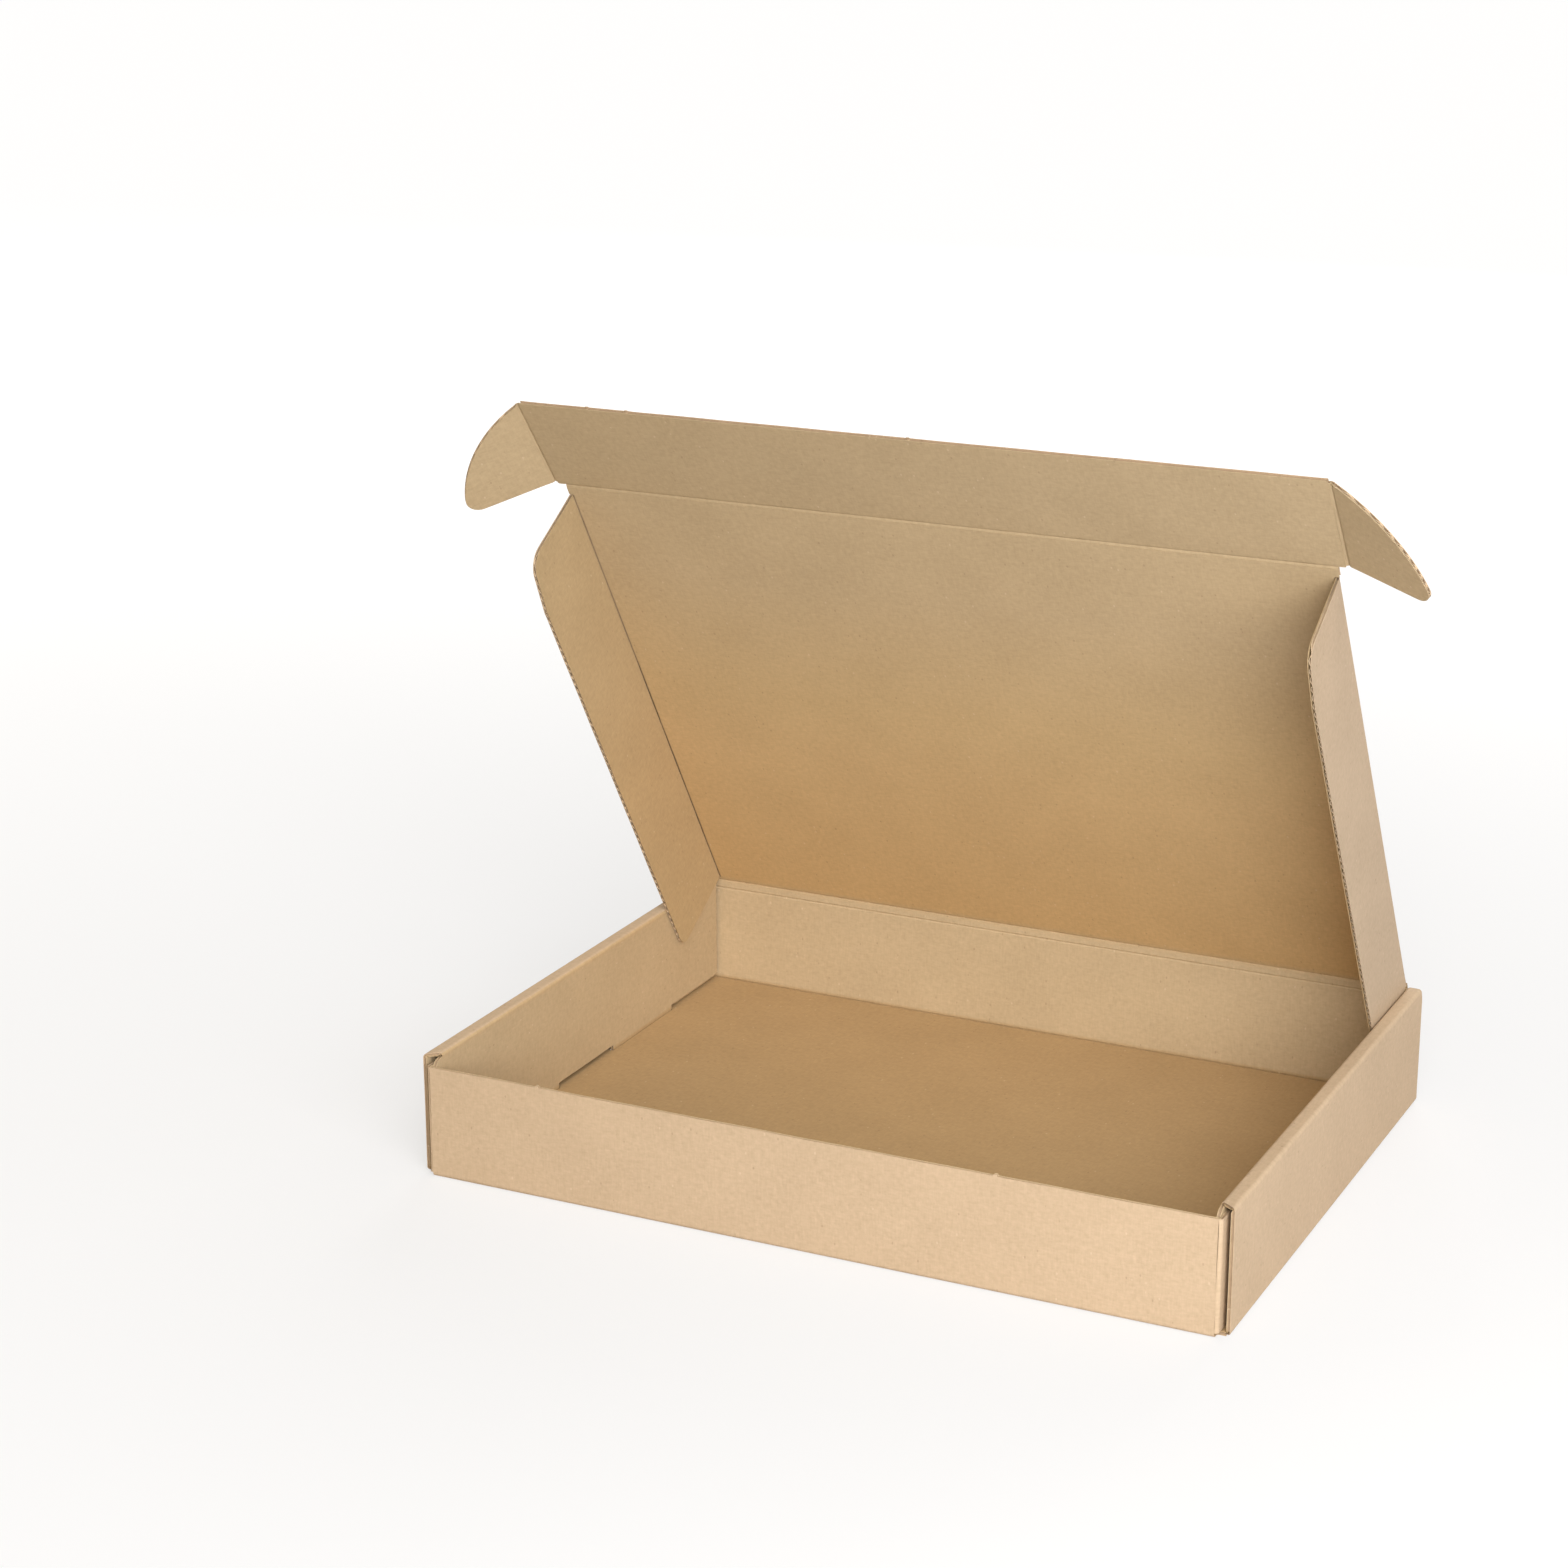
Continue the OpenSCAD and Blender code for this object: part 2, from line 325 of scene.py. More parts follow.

# tints of the inner faces by height in quarter metres, warmer low down: painted shade on the tray floor and walls,
# painted warm bounce light on the lower lid, painted shade higher up
floorPaintedShade, wallPaintedShade = (0.80, 0.71, 0.59), (0.893, 0.875, 0.865)
insidePaintedLight = (
    (0.0, floorPaintedShade), (0.0066, floorPaintedShade), (0.0112, wallPaintedShade), (0.165, wallPaintedShade),
    (0.18, (1.0, 0.885, 0.70)), (0.45, (1.0, 0.905, 0.75)), (0.56, (0.965, 0.895, 0.76)),
    (0.76, (0.857, 0.832, 0.795)), (0.95, (0.82, 0.81, 0.79)))
# painted shade on the inner faces of the dust flaps by height, darker and greyer higher up
flapPaintedShade = (
    (0.0, (0.84, 0.79, 0.70)), (0.4, (0.84, 0.765, 0.66)), (0.6, (0.80, 0.75, 0.67)),
    (0.9, (0.77, 0.74, 0.68)))


# returns make(node type, settings, inputs) and work(operation, values) for one node tree
def nodeMaker(owner):
    owner.use_nodes = True
    tree = owner.node_tree
    tree.nodes.clear()

    def make(kind, **values):
        n = tree.nodes.new(kind)
        inputs = values.pop("inputs", {})
        for k, v in values.items():
            setattr(n, k, v)
        for k, v in inputs.items():
            if isinstance(v, bpy.types.NodeSocket):
                tree.links.new(v, n.inputs[k])
            else:
                n.inputs[k].default_value = v
        return n

    def work(operation, *values, **settings):
        return make("ShaderNodeMath", operation=operation, inputs=dict(enumerate(values)), **settings).outputs[0]

    return make, work


def kraftLook(name, tone, rough, washboard, paintedByHeight=(), fluteShade=0.0):
    material = bpy.data.materials.new(name)
    make, work = nodeMaker(material)
    uv = make("ShaderNodeUVMap", uv_map="sheet").outputs["UV"]

    def stretched(scale, turn=0.0):
        return make("ShaderNodeMapping", inputs={
            "Vector": uv, "Scale": scale, "Rotation": (0, 0, turn)}).outputs["Vector"]

    def noise(space, scale, detail, roughness):
        return make("ShaderNodeTexNoise", inputs={
            "Vector": space, "Scale": scale, "Detail": detail, "Roughness": roughness}).outputs["Fac"]

    fibre = noise(stretched(paper["along"]), 1.0, 4.0, 0.62)
    cross = noise(stretched(paper["across"], paper["acrossTurn"]), 1.0, 3.0, 0.6)
    cloud = noise(uv, paper["cloudScale"], 4.0, 0.55)
    mottle = noise(uv, paper["mottleScale"], 2.5, 0.6)
    both = work("ADD", fibre, cross)
    grain = work("MULTIPLY_ADD", work("ADD", both, mottle), *paper["grainGain"])
    patches = work("MULTIPLY_ADD", cloud, *paper["cloudGain"])
    mix = work("ADD", grain, patches, use_clamp=True)
    base = make("ShaderNodeMix", data_type="RGBA", inputs={0: mix, 6: tone[0], 7: tone[1]}).outputs[2]
    # painted light and shade by height, multiplied into the paper's colour
    if paintedByHeight:
        place = make("ShaderNodeTexCoord").outputs["Object"]
        rise = make("ShaderNodeSeparateXYZ", inputs={0: place}).outputs["Z"]
        ramp = make("ShaderNodeValToRGB", inputs={0: work("MULTIPLY", rise, 4.0)})
        for i, (at, tint) in enumerate(paintedByHeight):
            stop = ramp.color_ramp.elements[i] if i < 2 else ramp.color_ramp.elements.new(at)
            stop.position = at
            stop.color = tint + (1,)
        base = make("ShaderNodeMix", data_type="RGBA", blend_type="MULTIPLY",
                    inputs={0: 1.0, 6: base, 7: ramp.outputs[0]}).outputs[2]

    # scattered dark and pale fibres
    speck = make("ShaderNodeTexVoronoi", feature="F1", inputs={
        "Vector": stretched(paper["speckSpace"]), "Scale": 1.0, "Randomness": 1.0})
    near = make("ShaderNodeMapRange", inputs={
        0: speck.outputs["Distance"], 1: paper["speckEdge"][0], 2: paper["speckEdge"][1],
        3: 1.0, 4: 0.0}).outputs[0]
    pick = make("ShaderNodeSeparateColor", inputs={0: speck.outputs["Color"]}).outputs[0]
    darkPart = work("MULTIPLY", work("MULTIPLY", near, work("LESS_THAN", pick, paper["darkBelow"])),
                    paper["speckShow"])
    palePart = work("MULTIPLY", work("MULTIPLY", near, work("GREATER_THAN", pick, paper["paleAbove"])),
                    paper["speckShow"])
    specked = make("ShaderNodeMix", data_type="RGBA",
                   inputs={0: darkPart, 6: base, 7: paper["darkSpeck"]}).outputs[2]
    specked = make("ShaderNodeMix", data_type="RGBA",
                   inputs={0: palePart, 6: specked, 7: paper["paleSpeck"]}).outputs[2]

    # flutes showing faintly through the liner, as a bump and a faint painted shade; on the fluting itself, painted
    # shade in the hollows and painted light on the crests
    apart = make("ShaderNodeSeparateXYZ", inputs={0: uv}).outputs["Y"]
    wave = work("SINE", work("MULTIPLY", apart, 2 * math.pi * 100 / sheet["flute"]))
    patchy = make("ShaderNodeMapRange", inputs={0: cloud, 1: 0.35, 2: 0.65, 3: 0.1, 4: 1.0}).outputs[0]
    wave = work("MULTIPLY", wave, patchy)
    shade = work("MULTIPLY_ADD", wave, paper["washShade"] * washboard + fluteShade, 1.0)
    colour = make("ShaderNodeVectorMath", operation="SCALE", inputs={0: specked, 3: shade}).outputs[0]
    lift = work("MULTIPLY", both, paper["fibreHeight"])
    height = work("MULTIPLY_ADD", wave, paper["washHeight"] * washboard, lift)
    bump = make("ShaderNodeBump", inputs={"Strength": 1.0, "Distance": 0.001, "Height": height}).outputs["Normal"]
    coarse = make("ShaderNodeMapRange", inputs={
        0: both, 1: 0.6, 2: 1.4, 3: rough + paper["roughSpread"][0], 4: rough + paper["roughSpread"][1]}).outputs[0]
    skin = make("ShaderNodeBsdfPrincipled", inputs={
        "Base Color": colour, "Roughness": coarse, "Normal": bump,
        "Specular IOR Level": paper["specular"], "IOR": paper["ior"]})
    make("ShaderNodeOutputMaterial", inputs={"Surface": skin.outputs["BSDF"]})
    return material


kraft = kraftLook("kraftLiner", tones["liner"], 0.74, 1.0)
# inner faces: painted shade low in the tray, painted warm bounce light on the lid
kraftInside = kraftLook("kraftInside", tones["inside"], 0.76, 1.0, insidePaintedLight)
# the dust flaps' outside and inside carry painted shade
kraftFlapBackShaded = kraftLook("kraftFlapOutsideShaded", tones["flapOutsideShaded"], 0.74, 1.0)
kraftFlap = kraftLook("kraftFlapInside", tones["inside"], 0.76, 1.0, flapPaintedShade)
medium = kraftLook("kraftMediumShaded", tones["medium"], 0.85, 0.0)
# painted shade and light alternating along the flute waves
flutes = kraftLook("kraftFlutes", tones["flutes"], 0.85, 0.0, fluteShade=0.6)
print("materials made")


tray = {
    "frontTop": 40.2, "backTop": hingeAt.z - half - 0.2,
    "frontSetback": 3.0, "backSetback": 1.5, "stripSlant": 3.5,  # ends of the rolled side walls
    "stripBack": (0.8, 0.92),                                    # the strip's rear end, inner and outer side
    "rearCorner": ((0.0, 1.08), (1.0, 0.64), (2.0, 0.28), (3.6, 0.0)),  # down from the fold, and forward
    "panelLift": 1.9, "endGap": 0.4, "rearGap": 1.1, "panelRound": 4.4,
    "wallEar": 38.0, "earRound": 3.0, "notchRound": 0.9, "floorCorner": 0.25,
    "tabLength": 46.0, "tabsAt": (-45.0, 42.0), "tabDrop": 0.3, "tabRound": 0.5,
    "slotWidth": 3.2, "slotEnd": 0.6, "slotRound": 0.6,
    "creaseBelowHinge": 2.6, "creaseHalf": 0.55, "creaseDeep": 0.3,
    "nicksAt": (-99.0, 67.0),
}
nick = {"top": 0.5, "foot": 0.8, "frontHeight": 0.5, "tuckHeight": 0.3}  # left by the cutting die
sideX, frontY, backY, sideTop = trayHigh.x, trayLow.y, trayHigh.y, trayHigh.z
wallEarX = sideX - 2 * (thick + sheet["layerGap"])
panelX = wallEarX - thick - sheet["layerGap"]
innerX = panelX - thick
bendRun = half * math.pi / 2
foldX, edgeX = wallEarX - thick, sideX - thick


def trayFloor(bm):
    frontRun = tray["frontTop"] - thick
    floorRun = backY - frontY - 2 * thick
    backRun = tray["backTop"] - thick
    long = FoldedPath((frontY + half, tray["frontTop"]), -90,
                      [("line", frontRun), ("turn", 90), ("line", floorRun), ("turn", 90), ("line", backRun)])
    floorStart = frontRun + bendRun
    floorEnd = floorStart + floorRun
    end = floorEnd + bendRun + backRun
    notch = floorStart + tray["frontSetback"] - thick
    corner = floorEnd + bendRun + tray["floorCorner"]  # closes the corner under the wall ear
    nicks = []
    for x in tray["nicksAt"]:
        nicks += [(x - nick["foot"], 0.0, 0), (x - nick["top"], -nick["frontHeight"], 0),
                  (x + nick["top"], -nick["frontHeight"], 0), (x + nick["foot"], 0.0, 0)]
    outline = rounded([(-foldX, 0, 0)] + nicks + [
        (foldX, 0, 0), (foldX, notch, tray["notchRound"]), (edgeX, notch, 0), (edgeX, corner, 0),
        (foldX, corner, 0), (foldX, end, 0), (-foldX, end, 0), (-foldX, corner, 0), (-edgeX, corner, 0),
        (-edgeX, notch, 0), (-foldX, notch, tray["notchRound"])])
    holes, r = [], tray["slotRound"]
    for at in tray["tabsAt"]:
        y0 = floorStart + (at - tray["tabLength"] / 2 - tray["slotEnd"]) - (frontY + thick)
        y1 = y0 + tray["tabLength"] + 2 * tray["slotEnd"]
        for s in (1, -1):
            x0, x1 = s * (innerX - tray["tabDrop"]), s * (innerX - tray["tabDrop"] + tray["slotWidth"])
            holes.append(rounded([(x0, y0, r), (x1, y0, r), (x1, y1, r), (x0, y1, r)], 3))
    crease = end - tray["creaseBelowHinge"]

    # the back wall has a pressed line on its inner side, just under the hinge
    def place(x, s, n):
        dip = max(0.0, 1 - abs(s - crease) / tray["creaseHalf"])
        if n < -0.3:
            n += tray["creaseDeep"] * dip
        a = long.at(s, n)
        return Vector((x, a.x, a.y))

    marks = long.marks() + [crease - tray["creaseHalf"], crease, crease + tray["creaseHalf"]]
    board(bm, [outline] + holes, place, cutsY=marks)


# outer wall, top strip, inner panel and tabs of a rolled side wall; s1 to s7 run along the sheet
def traySides(bm):
    up = sideTop - 2 * thick
    strip = sideX - thick - panelX
    down = sideTop - 2 * thick - tray["panelLift"]
    roll = FoldedPath((edgeX, half), 0,
                      [("turn", 90), ("line", up), ("turn", 90), ("line", strip), ("turn", 90), ("line", down + 10)])
    s1 = bendRun
    s2 = s1 + up
    s3, s4 = s2 + bendRun, s2 + bendRun + strip
    s5 = s4 + bendRun
    s6 = s5 + down
    s7 = s6 + tray["panelLift"] + thick - tray["tabDrop"]
    front, rear = frontY + tray["frontSetback"], backY - tray["backSetback"]
    panelFront, panelRear = frontY + thick + tray["endGap"], backY - thick - tray["rearGap"]
    corners = [(0, front + thick, 0), (s1, front, 0), (s2, front, 0), (s5, front + tray["stripSlant"], 0),
               (s5 + 0.01, panelFront, tray["panelRound"]), (s6, panelFront, 0.5)]
    for at in tray["tabsAt"]:
        a, b = at - tray["tabLength"] / 2, at + tray["tabLength"] / 2
        corners += [(s6, a, 0), (s7, a, tray["tabRound"]), (s7, b, tray["tabRound"]), (s6, b, 0)]
    inner, outer = tray["stripBack"]
    corners += [(s6, panelRear, 0.5), (s5 + 2.0, panelRear, 0), (s5, panelRear - 0.3, 0),
                (s4, rear - inner, 0), (s3, rear - outer, 0)]
    corners += [(s2 - lower, rear - back, 0) for lower, back in tray["rearCorner"]]
    corners += [(s1, rear, 0), (0, rear - thick, 0)]
    side = rounded(corners)
    for s in (1, -1):
        def place(p, y, n, s=s):
            a = roll.at(p, n)
            return Vector((s * a.x, y, a.y))
        board(bm, [side], place, cutsX=roll.marks(), rolledAt=s4 + bendRun / 2)


# ears of the front and back walls, inside the side walls
def trayEars(bm):
    earLength = tray["wallEar"] - thick
    turn = FoldedPath((foldX, frontY + half), 0, [("turn", 90), ("line", earLength)])
    low, tip, r = thick + sheet["flapGap"], bendRun + earLength, tray["earRound"]
    for ySide, top in ((-1, tray["frontTop"]), (1, tray["backTop"])):
        ear = rounded([(0, low, 0), (tip, low, r), (tip, top, r), (0, top, 0)])
        for s in (1, -1):
            def place(p, z, n, s=s, ySide=ySide):
                a = turn.at(p, n)
                return Vector((s * a.x, -ySide * a.y, z))
            board(bm, [ear], place, cutsX=turn.marks())


bm = startPiece()
trayFloor(bm)
traySides(bm)
trayEars(bm)
finishPiece(bm, "trayBoard", "tray", ["tray"])
print("tray made")

# the lid and its flaps are drawn flat, each with its fold line at the origin
inLid = Matrix.Translation(hingeAt) @ Matrix.Rotation(math.radians(-lidOpen), 4, "X")
inTuck = inLid @ Matrix.Translation((0, -lidLength, 0)) @ Matrix.Rotation(math.radians(tuckFolded), 4, "X")
straight, mirrored = Matrix.Identity(4), Matrix.Diagonal((-1, 1, 1, 1))


def placedBy(matrix):
    return lambda x, y, z: matrix @ Vector((x, y, z))


dust = {"depth": 36.5, "rear": 2.0, "front": 4.7, "frontRound": 8.0, "rearRound": 5.0,
        "taper": 3.0, "taperLength": 22.0}
lid = {"sideX": dustX - 0.45, "cornerX": dustX + thick, "reach": 1.0, "slit": 0.3}


def lidPiece():
    bm = startPiece()
    x, wide, near, far = lid["sideX"], lid["cornerX"], -lid["reach"], -lidLength + lid["reach"]
    rear, front = -dust["rear"] + lid["slit"], -lidLength + dust["front"] - lid["slit"]
    right = [(wide, far), (wide, front), (x, front), (x, rear), (wide, rear), (wide, near)]
    outline = right + [(-a, b) for a, b in right[::-1]]
    board(bm, [outline], placedBy(inLid))
    finishPiece(bm, "lidBoard", "lid_panel", ["lid_panel"])


tuck = {"depth": 42.0, "shoulder": 0.5, "shoulderRound": 0.6, "reach": 1.0, "nicksAt": (-116.0, -101.0, 2.0)}


def tuckPiece():
    bm = startPiece()
    x, wide, far = lid["cornerX"], earX - tuck["reach"], -tuck["depth"]
    near, root, r = -tuck["shoulder"], -tuck["reach"], tuck["shoulderRound"]
    edge = far + nick["tuckHeight"]
    nicks = []
    for at in tuck["nicksAt"]:
        nicks += [(at - nick["foot"], edge, 0), (at - nick["top"], far, 0),
                  (at + nick["top"], far, 0), (at + nick["foot"], edge, 0)]
    outline = rounded([(-wide, edge, 0)] + nicks + [
        (wide, edge, 0), (wide, near, r), (x, near, 0), (x, root, 0),
        (-x, root, 0), (-x, near, 0), (-wide, near, r)], 4)
    board(bm, [outline], placedBy(inTuck))
    finishPiece(bm, "tuckBoard", "tuck_flap", ["tuck_flap"])


def dustPiece(side, body):
    bm = startPiece()
    front, rear, deep = -lidLength + dust["front"], -dust["rear"], dust["depth"]
    outline = rounded([(0, front, 0), (deep - dust["taper"], front, dust["frontRound"]),
                       (deep, front + dust["taperLength"], 0), (deep, rear, dust["rearRound"]), (0, rear, 0)], 9)
    inDust = (inLid @ Matrix.Translation((dustX, 0, -half)) @ Matrix.Rotation(math.pi / 2, 4, "Y")
              @ Matrix.Translation((0, 0, half)))
    board(bm, [outline], placedBy(side @ inDust), fluted=True)
    finishPiece(bm, body.split("_")[0] + "DustBoard", body, [body], outside=kraftFlapBackShaded, inside=kraftFlap)


ears = {"edge": 1.3, "drop": hingeAt.z - thick - 0.6, "round": 50.0, "middle": 6.5, "tipRound": 5.0,
        "reach": 1.0, "tipSteps": 8, "backSteps": 24,
        "left": -joints["left_ear_fold"]["range_deg"][0], "right": -joints["right_ear_fold"]["range_deg"][0]}


# an ear is one large arc that runs into a small one at its tip
def earPiece(side, body, folded):
    bm = startPiece()
    big, small, middle = ears["round"], ears["tipRound"], ears["middle"]
    cx = -math.sqrt(big ** 2 - (ears["drop"] + middle) ** 2)
    tipY = ears["edge"] + small
    tipX = cx + math.sqrt((big - small) ** 2 - (tipY + middle) ** 2)
    turn = math.atan2(tipY + middle, tipX - cx)
    outline = [(ears["reach"], -ears["edge"])]
    for k in range(ears["tipSteps"] + 1):
        a = math.pi / 2 - (math.pi / 2 + turn) * k / ears["tipSteps"]
        outline.append((tipX + small * math.cos(a), -tipY + small * math.sin(a)))
    last = math.atan2(ears["drop"] + middle, -cx + ears["reach"])
    for k in range(1, ears["backSteps"] + 1):
        a = -turn - (last - turn) * k / ears["backSteps"]
        outline.append((cx + big * math.cos(a), middle + big * math.sin(a)))
    inEar = inTuck @ Matrix.Translation((earX, 0, 0)) @ Matrix.Rotation(math.radians(folded), 4, "Y")
    board(bm, [outline], placedBy(side @ inEar), fluted=True)
    finishPiece(bm, body.split("_")[0] + "EarBoard", body, [body])


lidPiece()
tuckPiece()
dustPiece(straight, "right_dust_flap")
dustPiece(mirrored, "left_dust_flap")
earPiece(straight, "right_ear", ears["right"])
earPiece(mirrored, "left_ear", ears["left"])
print("lid and flaps made")


# the liners carried on across each moving fold, in millimetres
creases = {
    "hingeReach": 1.0, "tuckReach": 1.05, "earReach": 1.02, "groove": 0.3, "steps": 5,
    "dustSteps": 8, "dustFill": ((-0.45, 0.75), (-0.2, 0.6), (0.25, 0.45)),
}


# a thin band that follows a line of points and runs from low to high along the crease
def bandPart(target, line, low, high, place, slot=outerSlot):
    part = bmesh.new()
    layer = part.loops.layers.uv.new("sheet")
    points = [part.verts.new((a, b, low)) for a, b in line]
    for a, b in zip(points, points[1:]):
        part.edges.new((a, b))
    drawn = bmesh.ops.extrude_edge_only(part, edges=part.edges[:])["geom"]
    far = [g for g in drawn if isinstance(g, bmesh.types.BMVert)]
    bmesh.ops.translate(part, vec=(0, 0, high - low), verts=far)
    bmesh.ops.recalc_face_normals(part, faces=part.faces)
    bmesh.ops.solidify(part, geom=part.faces[:], thickness=sheet["liner"])
    for v in part.verts:
        v.co = place(v.co.x, v.co.y, v.co.z) * mm
    bmesh.ops.recalc_face_normals(part, faces=part.faces)
    for face in part.faces:
        face.material_index = slot
        for loop in face.loops:
            loop[layer].uv = (loop.vert.co.x * 10, (loop.vert.co.y + loop.vert.co.z) * 10)
    addTo(target, part)


# outer and inner liner over a fold whose axis is at 0, 0, with the still panel toward +a
def creasePart(target, folded, reach, low, high, place):
    lay, groove, steps = half - sheet["liner"] / 2, creases["groove"], creases["steps"]
    turn = math.radians(folded)
    away = Vector((-math.cos(turn), -math.sin(turn)))
    up = Vector((-math.sin(turn), math.cos(turn)))
    outer = [Vector((reach, lay)), Vector((reach * 0.4, lay)), Vector((0, lay))]
    for k in range(1, steps + 1):
        a = math.pi / 2 + turn * k / steps
        outer.append(Vector((math.cos(a), math.sin(a))) * lay)
    outer += [outer[-1] + away * reach * 0.4, outer[-1] + away * reach]
    middle = (Vector((0, 1)) + up).normalized() * -(lay - groove) / max(0.4, math.cos(turn / 2))
    inner = [Vector((reach, -lay)), Vector((reach * 0.55, -lay + groove * 0.12)), middle,
             away * reach * 0.55 - up * (lay - groove * 0.12), away * reach - up * lay]
    bandPart(target, [tuple(p) for p in outer], low, high, place)
    bandPart(target, [tuple(p) for p in inner], low, high, place, innerSlot)


# the two points between which a crease turns from one body to the next
def between(still, moving, start, end):
    return still, moving, tuple(start * mm), tuple(end * mm)


bm = startPiece()
creasePart(bm, tuckFolded, creases["tuckReach"], -lid["cornerX"], lid["cornerX"],
           lambda a, b, c: inLid @ Vector((c, -lidLength + a, b)))
finishPiece(bm, "tuckCrease", bends=between(
    "lid_panel", "tuck_flap", inLid @ Vector((0, -lidLength + 1.0, 0)), inTuck @ Vector((0, -1.0, 0))))

bm = startPiece()
upright = Matrix.Translation(hingeAt)
creasePart(bm, 90 - lidOpen, creases["hingeReach"], -lid["cornerX"], lid["cornerX"],
           lambda a, b, c: upright @ Vector((c, b, -a)))
finishPiece(bm, "hingeCrease", bends=between(
    "tray", "lid_panel", hingeAt + Vector((0, 0, -1.0)), inLid @ Vector((0, -1.0, 0))))

for side, body, folded in ((straight, "right_ear", ears["right"]), (mirrored, "left_ear", ears["left"])):
    bm = startPiece()
    toEar = side @ inTuck @ Matrix.Translation((earX, 0, 0))
    outward = Matrix.Rotation(math.radians(folded), 4, "Y")
    creasePart(bm, folded, creases["earReach"], -ears["drop"], -ears["edge"],
               lambda a, b, c: toEar @ Vector((-a, c, b)))
    finishPiece(bm, body.split("_")[0] + "EarCrease", bends=between(
        "tuck_flap", body, toEar @ Vector((-1.0, 0, 0)), toEar @ outward @ Vector((1.0, 0, 0))))

# a dust flap's fold is a quarter round over its outside, and a short filling behind it
for side, body in ((straight, "right_dust_flap"), (mirrored, "left_dust_flap")):
    bm = startPiece()
    toDust = side @ inLid @ Matrix.Translation((dustX, 0, -half))
    front, rear = -lidLength + dust["front"], -dust["rear"]
    lay, steps = thick - sheet["liner"] / 2, creases["dustSteps"]
    quarter = [k * math.pi / 2 / steps for k in range(steps + 1)]
    line = [(-0.25, lay)] + [(lay * math.sin(a), lay * math.cos(a)) for a in quarter] + [(lay, -0.05)]
    bandPart(bm, line, front, rear, lambda a, b, c: toDust @ Vector((a, c, b)))
    # its filling band has the medium tone, with its painted shade
    bandPart(bm, creases["dustFill"], front, rear, lambda a, b, c: toDust @ Vector((a, c, b)), fillSlot)
    finishPiece(bm, body.split("_")[0] + "DustCrease", bends=between(
        "lid_panel", body, toDust @ Vector((-0.1, 0, lay)), toDust @ Vector((lay, 0, 0))))
print("creases made")


stage = {
    "floorSize": 9, "floorDrop": 0.0002,  # metres
    "dullLeft": (0.40, 0.31, 0.19, 1), "dullRight": (0.62, 0.62, 0.67, 1),  # what the floor throws back
    "dullAcross": (-0.35, 0.25),
    "pale": 0.34, "glow": (0.58, 0.79), "spread": (0.2, 1.3),               # what is seen of the floor
    "reach": 0.0006,                       # light this close below the box gets through
    "sky": 0.325, "below": 0.6, "far": 0.99,
    "left": (0.72, 0.61, 0.44, 1), "right": (1.04, 1.05, 1.1, 1),
}

floorMesh = bpy.data.meshes.new("studioFloor")
bm = bmesh.new()
bmesh.ops.create_grid(bm, x_segments=2, y_segments=2, size=stage["floorSize"])
bmesh.ops.translate(bm, vec=(0, 0, -stage["floorDrop"]), verts=bm.verts)
bm.to_mesh(floorMesh)
bm.free()
studioFloor = bpy.data.objects.new("studioFloor", floorMesh)
bpy.context.scene.collection.objects.link(studioFloor)


# 1 for the rays that show the background: camera, glossy and transmission rays
def seenRays(make, work):
    rays = make("ShaderNodeLightPath").outputs
    direct = work("MAXIMUM", rays["Is Camera Ray"], rays["Is Glossy Ray"])
    return work("MAXIMUM", direct, rays["Is Transmission Ray"])


floorLook = bpy.data.materials.new("studioFloorLook")
make, work = nodeMaker(floorLook)
spot = make("ShaderNodeTexCoord").outputs["Object"]
across = make("ShaderNodeSeparateXYZ", inputs={0: spot}).outputs["X"]
toRight = make("ShaderNodeMapRange", inputs={
    "Value": across, "From Min": stage["dullAcross"][0], "From Max": stage["dullAcross"][1]}).outputs[0]
bounce = make("ShaderNodeMix", data_type="RGBA",
              inputs={0: toRight, 6: stage["dullLeft"], 7: stage["dullRight"]}).outputs[2]
dull = make("ShaderNodeBsdfDiffuse", inputs={"Color": bounce}).outputs[0]
pale = make("ShaderNodeBsdfDiffuse", inputs={"Color": (stage["pale"],) * 3 + (1,)}).outputs[0]
away = make("ShaderNodeVectorMath", operation="LENGTH", inputs={0: spot}).outputs["Value"]
rising = make("ShaderNodeMapRange", inputs={
    "Value": away, "From Min": stage["spread"][0], "From Max": stage["spread"][1],
    "To Min": stage["glow"][0], "To Max": stage["glow"][1]}).outputs[0]
glow = make("ShaderNodeEmission", inputs={"Color": (1, 1, 1, 1), "Strength": rising}).outputs[0]
paleGlow = make("ShaderNodeAddShader", inputs={0: pale, 1: glow}).outputs[0]
topSide = make("ShaderNodeMixShader", inputs={0: seenRays(make, work), 1: dull, 2: paleGlow}).outputs[0]
clear = make("ShaderNodeBsdfTransparent", inputs={"Color": (1, 1, 1, 1)}).outputs[0]
under = make("ShaderNodeNewGeometry").outputs["Backfacing"]  # the floor isn't seen from below
close = work("LESS_THAN", make("ShaderNodeLightPath").outputs["Ray Length"], stage["reach"])
through = work("MAXIMUM", under, close)
floorSkin = make("ShaderNodeMixShader", inputs={0: through, 1: topSide, 2: clear}).outputs[0]
make("ShaderNodeOutputMaterial", inputs={"Surface": floorSkin})
floorMesh.materials.append(floorLook)

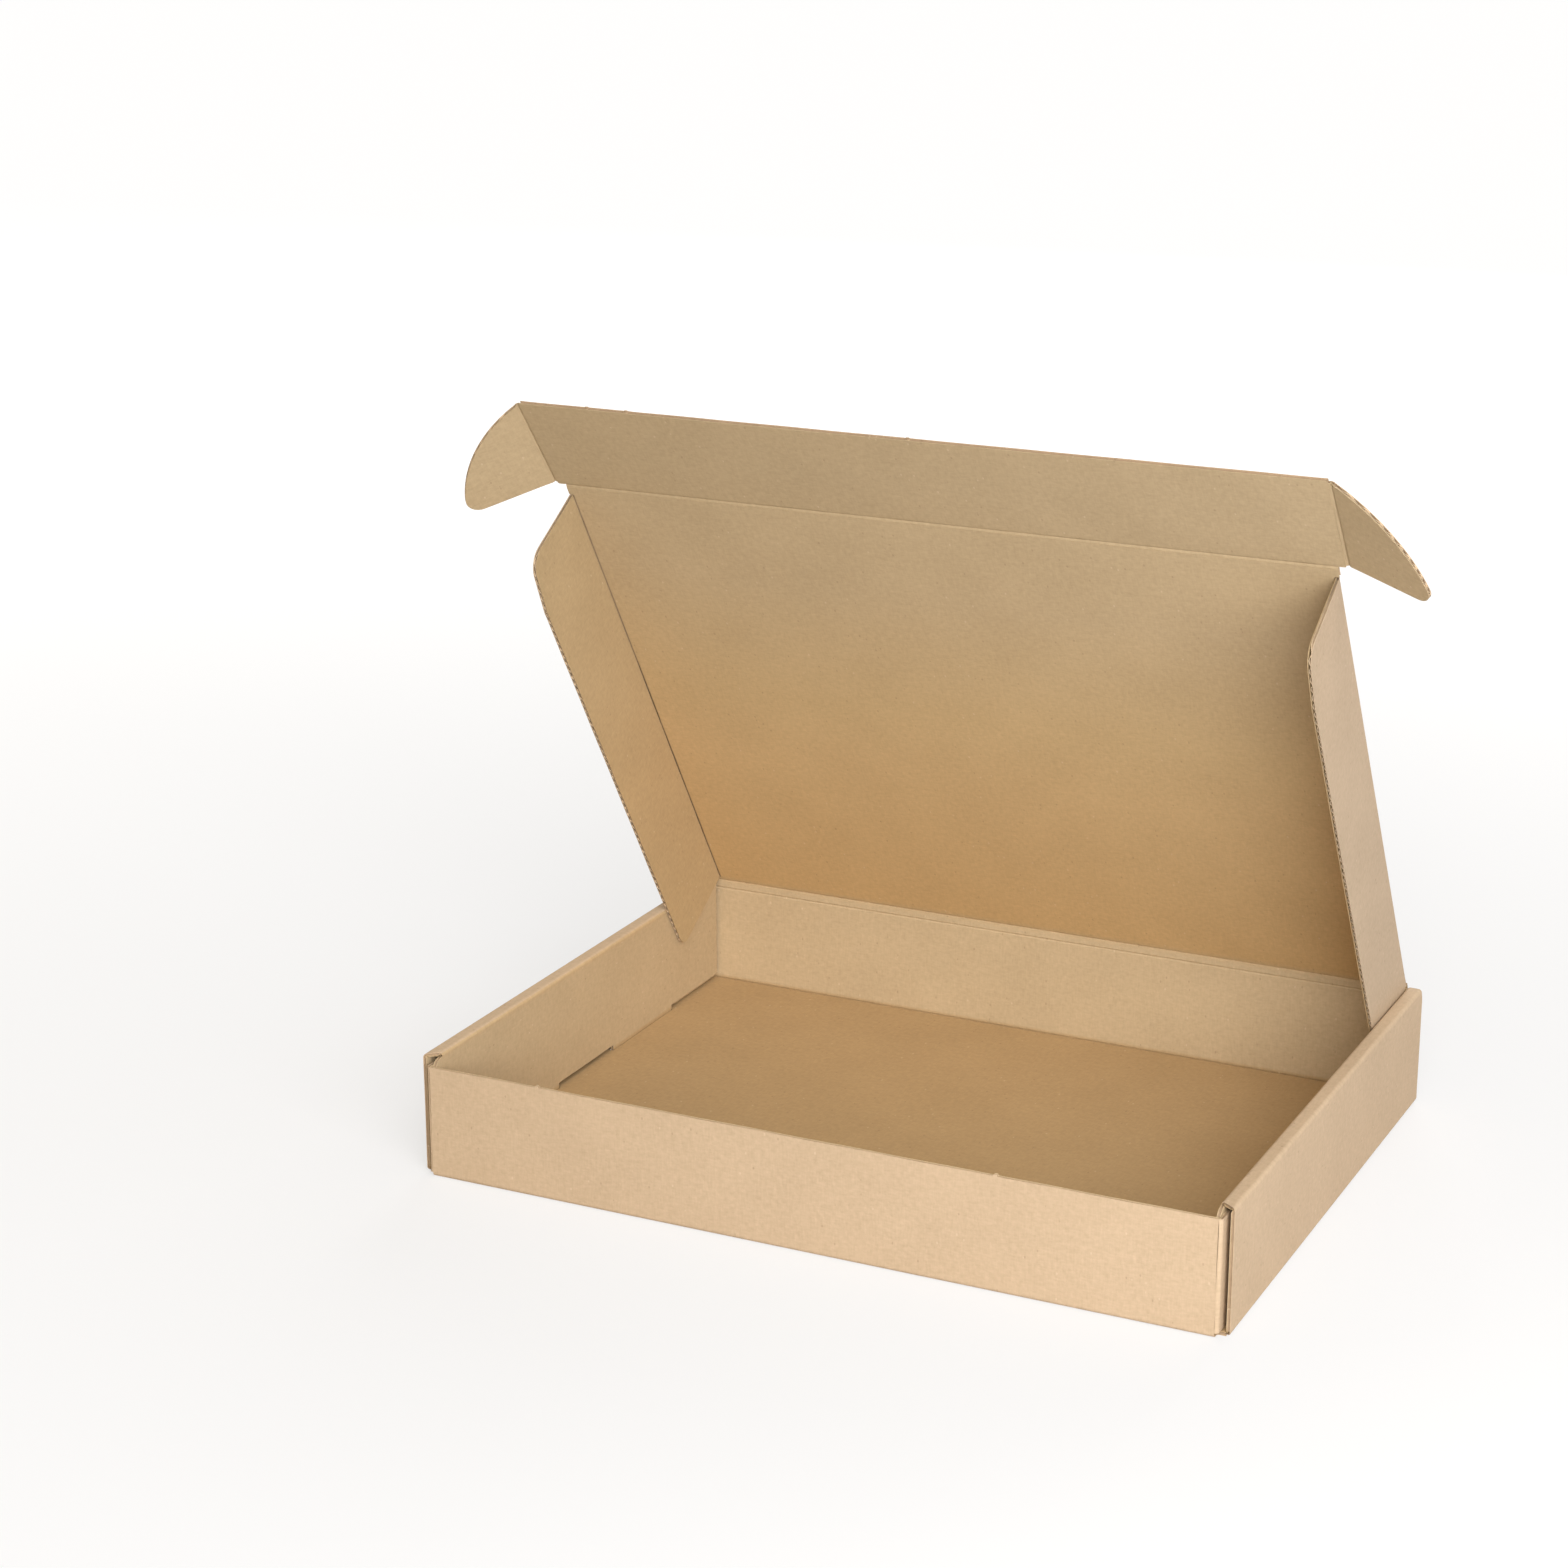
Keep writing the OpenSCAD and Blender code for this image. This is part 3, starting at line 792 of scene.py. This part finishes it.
# soft light from all round, stronger from below, and a plain white background
world = bpy.data.worlds.new("studio")
bpy.context.scene.world = world
make, work = nodeMaker(world)
heading = make("ShaderNodeSeparateXYZ", inputs={0: make("ShaderNodeTexCoord").outputs["Generated"]}).outputs
power = work("MULTIPLY_ADD", work("LESS_THAN", heading["Z"], 0.0), stage["below"], stage["sky"])
toRight = make("ShaderNodeMapRange", inputs={"Value": heading["X"], "From Min": -1.0, "From Max": 1.0}).outputs[0]
skyTint = make("ShaderNodeMix", data_type="RGBA", inputs={0: toRight, 6: stage["left"], 7: stage["right"]}).outputs[2]
dim = make("ShaderNodeBackground", inputs={"Color": skyTint, "Strength": power}).outputs[0]
bright = make("ShaderNodeBackground", inputs={"Color": (1, 1, 1, 1), "Strength": stage["far"]}).outputs[0]
sky = make("ShaderNodeMixShader", inputs={0: seenRays(make, work), 1: dim, 2: bright}).outputs[0]
make("ShaderNodeOutputWorld", inputs={"Surface": sky})

lights = {
    "keyLight": {"kind": "AREA", "at": (0.58, -0.68, 0.37), "toward": (0.03, 0, 0.04), "power": 7.2,
                 "colour": (0.995, 0.985, 0.985), "size": (0.75, 0.45)},
    "daylight": {"kind": "SUN", "at": (1.1, -1.9, 1.65), "toward": (0, 0, 0), "power": 1.75,
                 "colour": (1.0, 0.985, 0.97), "size": 0.9},
    "backLight": {"kind": "AREA", "at": (-0.2, 1.75, 0.8), "toward": (0, 0.1, 0.1), "power": 14.5,
                  "colour": (1.0, 0.99, 0.98), "size": (1.2, 0.9)},
    "warmFill": {"kind": "AREA", "at": (-1.1, -0.3, 0.6), "toward": (0, 0, 0.1), "power": 1.2,
                 "colour": (1.0, 0.8, 0.5), "size": (0.9, 0.6)},
}


def addLight(name, kind, at, toward, power, colour, size):
    light = bpy.data.lights.new(name, kind)
    if kind == "AREA":
        light.shape, light.size, light.size_y = "RECTANGLE", size[0], size[1]
    else:
        light.angle = size
    light.energy, light.color = power, colour
    obj = bpy.data.objects.new(name, light)
    obj.location = at
    obj.rotation_mode = "QUATERNION"
    obj.rotation_quaternion = (Vector(toward) - Vector(at)).to_track_quat("-Z", "Y")
    obj.visible_camera = False
    bpy.context.scene.collection.objects.link(obj)


for name, settings in lights.items():
    addLight(name, **settings)

# the camera's place and lens, in metres, degrees and pixels of the 1568-pixel frame
view = {"at": (0.4303, -0.9938, 0.4695), "azimuth": -25.29, "down": 17.76, "roll": 0.13,
        "focal": 3325, "centre": (834, 804), "image": 1568, "sensor": 36}
camera = bpy.data.cameras.new("camera")
cameraObj = bpy.data.objects.new("camera", camera)
bpy.context.scene.collection.objects.link(cameraObj)
bpy.context.scene.camera = cameraObj
azimuth, down = math.radians(view["azimuth"]), math.radians(view["down"])
ahead = Vector((math.sin(azimuth) * math.cos(down), math.cos(azimuth) * math.cos(down), -math.sin(down)))
facing = ahead.to_track_quat("-Z", "Y").to_matrix().to_4x4() @ Matrix.Rotation(math.radians(view["roll"]), 4, "Z")
cameraObj.matrix_world = Matrix.Translation(view["at"]) @ facing
camera.sensor_width = view["sensor"]
camera.lens = view["sensor"] * view["focal"] / view["image"]
camera.shift_x = -(view["centre"][0] - view["image"] / 2) / view["image"]
camera.shift_y = (view["centre"][1] - view["image"] / 2) / view["image"]
camera.clip_start, camera.clip_end = 0.05, 30
bpy.context.scene.view_settings.view_transform = "Standard"
print("stage, lights and camera made")
